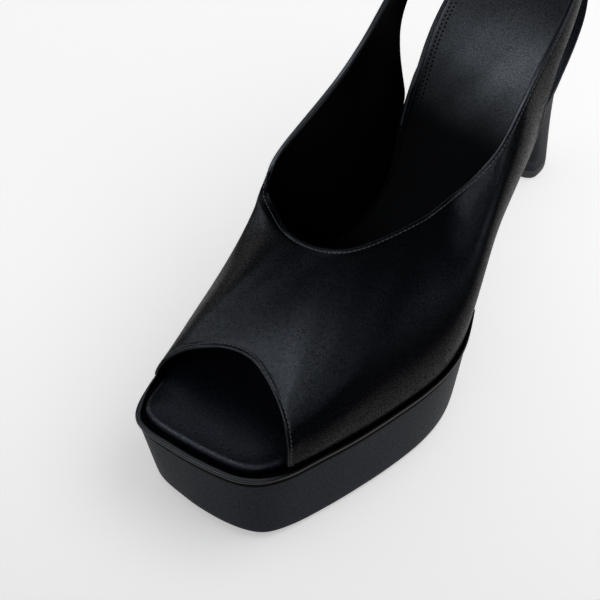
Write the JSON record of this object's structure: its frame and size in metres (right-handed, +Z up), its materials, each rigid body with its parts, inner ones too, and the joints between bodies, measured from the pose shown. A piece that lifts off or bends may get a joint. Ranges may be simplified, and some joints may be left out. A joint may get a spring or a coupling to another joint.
{
  "type": "platform sandal",
  "caption": "Left sling-back platform sandal with a square peep toe, rolled leather rim, padded insole and slim high heel.",
  "frame": {"origin": "middle of the footprint's bounding box, on the floor", "axes": "+Y from toe to heel, +X towards the outer side of the foot, +Z up"},
  "size_m": [0.0872, 0.2178, 0.151],
  "materials": {
    "outsole": "smooth black leather sole",
    "platform": "black satin wrapped over a light core",
    "rim": "glossy black leather bead",
    "insole": "padded board wrapped in black satin",
    "sock": "soft black grained leather",
    "upper": "black satin with a leather lining",
    "heel": "plastic heel covered in black satin",
    "heel_tip": "matt black rubber"
  },
  "bodies": {
    "root": {"outsole": "outsole", "platform": "platform", "rim": "rim", "insole": "insole", "sock": "sock", "upper": "upper", "heel": "heel", "heel_tip": "heel_tip"}
  },
  "joints": []
}
